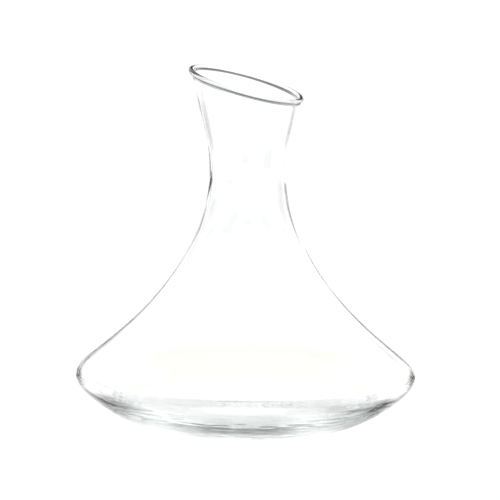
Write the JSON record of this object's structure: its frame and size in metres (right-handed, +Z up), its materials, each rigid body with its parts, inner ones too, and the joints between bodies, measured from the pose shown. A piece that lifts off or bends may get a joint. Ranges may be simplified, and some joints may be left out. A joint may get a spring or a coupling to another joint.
{
  "type": "wine decanter",
  "caption": "Wide-bowl wine decanter of clear blown glass, with a concave shoulder, a narrow neck and a flared mouth cut at a slant with a rounded lip",
  "frame": {"origin": "on the vessel's axis, in the plane of the foot ring that it stands on", "axes": "+Z up along the vessel's axis; the mouth's slant runs along X, high at -X and low at +X; XZ is the mirror plane"},
  "size_m": [0.22, 0.22, 0.2324],
  "materials": {
    "clear_glass": "clear colourless blown glass, fire-polished inside and out"
  },
  "bodies": {
    "root": {"glass_vessel": "clear_glass"}
  },
  "joints": []
}
